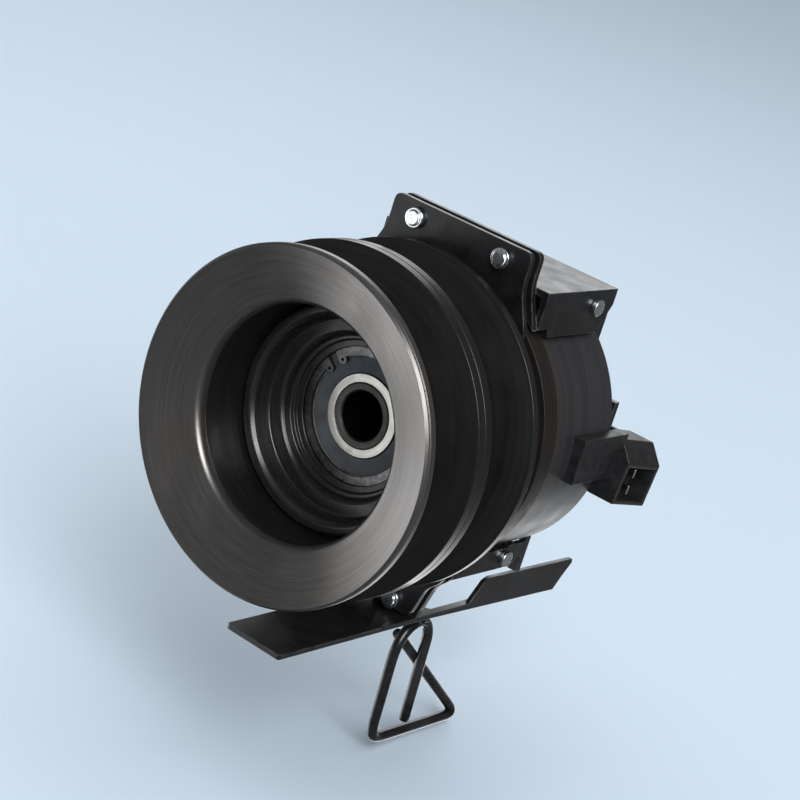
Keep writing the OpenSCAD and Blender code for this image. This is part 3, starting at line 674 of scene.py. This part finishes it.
def rounded(loop, fillet, special):
    """The loop with its corners rounded, with more steps where a fillet is large. The largest fillets may
    use up most of a side, since the corners beside them have small ones."""
    large, largest, least_reach = 1.2 * MM, 3.0 * MM, 0.01 * MM
    few_steps, many_steps = 4, 9
    under_half, most = 0.48, 0.82
    points = []
    count = len(loop)
    for i, here in enumerate(loop):
        corner = Vector(here)
        before = Vector(loop[i - 1]) - corner
        after = Vector(loop[(i + 1) % count]) - corner
        radius = fillet_at(corner, fillet, special)
        half = before.angle(after) / 2
        share = most if radius > largest else under_half
        room = share * min(before.length, after.length)
        reach = min(radius / math.tan(half), room)
        if reach < least_reach:
            points.append(corner)
            continue
        steps = many_steps if radius > large else few_steps
        a, b = corner + before.normalized() * reach, corner + after.normalized() * reach
        for s in range(steps + 1):
            points.append(arc_point(a, corner, b, half, s / steps))
    return points


def arc_point(a, corner, b, half, share):
    """A point on the arc that touches both sides of a corner at a and b."""
    inward = ((a + b) / 2 - corner).normalized()
    reach = (a - corner).length
    centre = corner + inward * reach / math.cos(half)
    start, end = a - centre, b - centre
    turn = start.angle_signed(end) if start.length > 0 else 0
    angle = -turn * share
    return centre + Vector((start.x * math.cos(angle) - start.y * math.sin(angle),
                            start.x * math.sin(angle) + start.y * math.cos(angle)))


def revolve(name, loops, segments):
    """A mesh object made by turning closed (radius, y) outlines round the Y axis."""
    bm = bmesh.new()
    for loop in loops:
        rings = []
        for i in range(segments):
            angle = 2 * math.pi * i / segments
            side, up = math.sin(angle), math.cos(angle)
            rings.append([bm.verts.new((radius * side, y, radius * up)) for radius, y in loop])
        for i, ring in enumerate(rings):
            following = rings[(i + 1) % segments]
            for j in range(len(loop)):
                k = (j + 1) % len(loop)
                bm.faces.new((ring[j], ring[k], following[k], following[j]))
    bmesh.ops.recalc_face_normals(bm, faces=bm.faces)
    return smooth_object(name, bm)


def smooth_object(name, bm):
    """A linked, smooth shaded object made from the bmesh, which is freed."""
    mesh = bpy.data.meshes.new(name)
    bm.to_mesh(mesh)
    bm.free()
    mesh.shade_smooth()
    obj = bpy.data.objects.new(name, mesh)
    bpy.context.scene.collection.objects.link(obj)
    return obj


def weigh_normals(obj):
    """Keeps the large flat faces flat beside their rounded edges."""
    weighted = obj.modifiers.new("weighted_normals", "WEIGHTED_NORMAL")
    weighted.keep_sharp = True
    weighted.weight = 80


def ripple(loop, start, end, profile):
    """The loop with extra points on its straight from start to end, both (radius, y). The profile is a
    list of (distance from start, height off the straight), where a negative height cuts into the metal."""
    index = min(range(len(loop)), key=lambda i: (Vector(loop[i]) - Vector(start)).length)
    following = (index + 1) % len(loop)
    forward = (Vector(loop[following]) - Vector(end)).length < NEAR
    first, last = Vector(start), Vector(end)
    along = (last - first).normalized()
    outward = Vector((-along.y, along.x))
    middle = sum((Vector(p) for p in loop), Vector((0, 0))) / len(loop)
    if outward.dot((first + last) / 2 - middle) < 0:
        outward = -outward
    extra = [tuple(first + along * d + outward * h) for d, h in profile]
    if forward:
        return loop[:index + 1] + extra + loop[index + 1:]
    return loop[:index] + extra[::-1] + loop[index:]


def turned_piece(node, fillet, special=(), ripples=(), segments=160):
    """Replaces a turned CAD node by a finely turned copy of its section with rounded corners."""
    loops = section_loops(node)
    for start, end, profile in ripples:
        nearest = min(loops, key=lambda loop: min((Vector(p) - Vector(start)).length for p in loop))
        loops[loops.index(nearest)] = ripple(nearest, start, end, profile)
    obj = revolve(node + "_turned", [rounded(loop, fillet, special) for loop in loops], segments)
    weigh_normals(obj)
    finish_piece(obj, node)


# ---------- pressed, cut and moulded pieces ----------

def softened(node, width):
    """Replaces a CAD node by a copy whose edges are rounded to that width."""
    coplanar, sharpest_smooth = math.radians(0.7), math.radians(32)
    bm = bmesh.new()
    bm.from_mesh(frame["nodes"][node].data)
    bmesh.ops.remove_doubles(bm, verts=bm.verts, dist=SAME_POINT)
    bmesh.ops.dissolve_limit(bm, angle_limit=coplanar, verts=bm.verts, edges=bm.edges)
    obj = smooth_object(node + "_rounded", bm)
    bevel = obj.modifiers.new("rounded_edges", "BEVEL")
    bevel.width = width
    bevel.segments = 3
    bevel.limit_method = "ANGLE"
    bevel.angle_limit = sharpest_smooth
    bevel.use_clamp_overlap = True
    bevel.miter_outer = "MITER_ARC"
    weigh_normals(obj)
    finish_piece(obj, node)


# ---------- wire and springs ----------

def end_stations(end, inward, radius):
    """Places and radii of the rings that close a bar's end. The end is dished: its middle lies deeper
    than its rim by half the bar's radius."""
    steps, depth, smallest = 4, 0.5, 0.02
    stations = []
    for s in range(steps):
        width = math.sin(math.pi / 2 * s / steps)
        stations.append((end + inward * radius * (1 - width) * depth, radius * max(width, smallest)))
    return stations


def sweep(points, radius, sides, bm):
    """Adds a round bar along the points to the bmesh, with dished ends."""
    first = (points[1] - points[0]).normalized()
    last = (points[-1] - points[-2]).normalized()
    stations = end_stations(points[0], first, radius)
    stations += [(p, radius) for p in points[1:-1]]
    stations += reversed(end_stations(points[-1], -last, radius))
    ahead = (stations[1][0] - stations[0][0]).normalized()
    side = ahead.orthogonal().normalized()
    rings = []
    for i, (place, r) in enumerate(stations):
        before = stations[max(i - 1, 0)][0]
        after = stations[min(i + 1, len(stations) - 1)][0]
        ahead = (after - before).normalized()
        side = (side - ahead * side.dot(ahead)).normalized()
        other = ahead.cross(side)
        ring = []
        for k in range(sides):
            angle = 2 * math.pi * k / sides
            ring.append(bm.verts.new(place + (side * math.cos(angle) + other * math.sin(angle)) * r))
        rings.append(ring)
    for ring, following in zip(rings, rings[1:]):
        for k in range(sides):
            n = (k + 1) % sides
            bm.faces.new((ring[k], ring[n], following[n], following[k]))
    bm.faces.new(list(reversed(rings[0])))
    bm.faces.new(rings[-1])


def rounded_path(corners):
    """Points along straight runs joined by smooth bends; corners are (point, bend size)."""
    steps, spacing = 9, 2 * MM
    points = []
    for i, (here, bend) in enumerate(corners):
        if bend == 0:
            points.append(here)
            continue
        start = here + (corners[i - 1][0] - here).normalized() * bend
        end = here + (corners[i + 1][0] - here).normalized() * bend
        for s in range(steps + 1):
            u = s / steps
            points.append(start * (1 - u) ** 2 + here * 2 * u * (1 - u) + end * u * u)
    spaced = [points[0]]
    for here in points[1:]:
        run = (here - spaced[-1]).length
        count = max(1, round(run / spacing))
        origin = spaced[-1]
        spaced += [origin.lerp(here, k / count) for k in range(1, count + 1)]
    return spaced


def deep(millimetres):
    """The Y of a depth behind the front rim."""
    return rim_front + millimetres * MM


def at(radius, depth):
    """A corner of a turned section, from its radius and its depth behind the front rim, in millimetres."""
    return (radius * MM, deep(depth))


def keeper_wire():
    """The bent wire under the keeper plate: two legs and a foot in one piece."""
    wire_radius, sides = 2.6 * MM, 24
    corners = [
        ((31, 129, -153), 0), ((31, 124.5, -96), 14), ((31, 99, -96), 19),
        ((31, 103, -158), 10), ((28, 181, -162), 11), ((26, 106, -104), 0),
    ]
    route = [(Vector((x * MM, deep(d), z * MM)), bend * MM) for (x, d, z), bend in corners]
    bm = bmesh.new()
    sweep(rounded_path(route), wire_radius, sides, bm)
    bmesh.ops.recalc_face_normals(bm, faces=bm.faces)
    finish_piece(smooth_object("keeper_wire_bent", bm), "keeper_wire")


def stud_places():
    """The X and Z of the four brake studs: as far out as their heads' own radius allows."""
    head_radius = 4.8 * MM
    low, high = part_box("brake_studs")
    across, height = high.x - head_radius, high.z - head_radius
    return [(sx * across, sz * height) for sx in (-1, 1) for sz in (-1, 1)]


def brake_springs():
    """Four wound springs round the studs, with closed ends."""
    wire, coil_radius, turns = 0.62 * MM, 4.35 * MM, 3.2
    steps, sides = 24, 10
    closed = 0.12     # the share of the wire that lies flat at each end
    low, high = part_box("brake_springs")
    start, end = low.y + wire, high.y - wire
    bm = bmesh.new()
    for x, z in stud_places():
        points = []
        count = int(turns * steps)
        for i in range(count + 1):
            angle = 2 * math.pi * i / steps
            share = min(max((i / count - closed) / (1 - 2 * closed), 0), 1)
            points.append(Vector((x + coil_radius * math.cos(angle), start + (end - start) * share,
                                  z + coil_radius * math.sin(angle))))
        sweep(points, wire, sides, bm)
    bmesh.ops.recalc_face_normals(bm, faces=bm.faces)
    finish_piece(smooth_object("brake_springs_wound", bm), "brake_springs")


def carried_over(node):
    """Keeps a CAD node's own shape and gives it its finished material."""
    obj = frame["nodes"][node]
    obj.data.materials.clear()
    obj.data.materials.append(MATERIALS[NODE_SLOT[node]])


# ---------- the pulley's dished face and hub ----------

def pulley_front_flange():
    """The dished flange, with a fat round lip at its mouth and a small groove round its rim."""
    rim, mouth = rim_radius / MM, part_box("pulley_hub")[1].x / MM
    front_edge = at(rim, 1.2)
    groove = [(0.5 * MM, 0), (0.7 * MM, -0.5 * MM), (1.2 * MM, -0.5 * MM), (1.4 * MM, 0)]
    turned_piece(
        "pulley_front_flange", fillet=0.5 * MM, segments=256,
        special=[(*at(mouth, 12), 4.6 * MM), (*front_edge, 0.7 * MM)],
        ripples=[(front_edge, at(rim, 6), groove)])


def pulley_hub():
    """The stepped hub inside the mouth. Its steps have fillets of their own, given in millimetres as
    (distance in from the mouth's radius, depth behind the front rim, fillet)."""
    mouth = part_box("pulley_hub")[1].x / MM
    steps = [(0, 42, 1.2), (1.5, 40, 1.8), (5, 40, 2.0), (7, 42, 1.6), (7, 49, 1.6), (8, 51, 1.2),
             (14, 51, 2.2), (15.5, 53, 1.6), (15.5, 56.4, 1.4)]
    special = [(*at(mouth - inset, depth), fillet * MM) for inset, depth, fillet in steps]
    turned_piece("pulley_hub", fillet=0.5 * MM, segments=224, special=special)


# ---------- everything, put together ----------

# The plain walls of the pulley, with their fillets in millimetres.
PULLEY_WALLS = {
    "pulley_mid_flange_front": 0.45, "pulley_mid_flange_rear": 0.45, "pulley_rear_flange": 0.4,
    "pulley_drum": 0.2,
}

# Turned pieces that lie inside or are seen small.
SMALL_TURNED = (
    "pulley_bearing_outer_race", "pulley_bearing_inner_race", "pulley_bearing_seals",
    "field_bearing_outer_race", "field_bearing_inner_race", "field_bearing_seals",
    "spacer_collar", "rotor_hub", "sleeve_retaining_ring", "coil_bobbin", "coil_winding", "coil_potting",
)

# Pieces that keep their CAD shape with rounded edges, with the width of the rounding in millimetres.
EDGE_WIDTHS = {
    "bracket_top": 0.5, "bracket_bottom": 0.5, "brake_plate": 0.5, "keeper_plate": 0.5, "rear_plate": 0.5,
    "connector_arm": 0.8, "connector_housing": 0.6, "connector_terminals": 0.2, "brake_studs": 0.7,
    "brake_nuts": 0.5, "bracket_bolts": 0.7, "bracket_nuts": 0.3, "rear_plate_screws": 0.5,
    "bearing_snap_ring": 0.25, "field_bearing_snap_ring": 0.2, "armature_leaf_springs": 0.12,
    "leaf_spring_rivets": 0.3, "armature_plate": 0.4, "armature_rivets": 0.2, "hub_sleeve": 0.35,
    "rotor_disc": 0.3, "field_shell": 0.7, "brake_pads": 0.3, "pulley_bearing_cage": 0.2,
    "field_bearing_cage": 0.2, "lead_wires": 0.1,
}

add_camera()
add_floor()
add_world()
add_overhead_light()

pulley_front_flange()
for wall, wall_fillet in PULLEY_WALLS.items():
    turned_piece(wall, fillet=wall_fillet * MM, segments=256)
pulley_hub()
for small in SMALL_TURNED:
    turned_piece(small, fillet=0.3 * MM)
for pressed, edge_width in EDGE_WIDTHS.items():
    softened(pressed, edge_width * MM)
keeper_wire()
brake_springs()
carried_over("pulley_bearing_balls")
carried_over("field_bearing_balls")
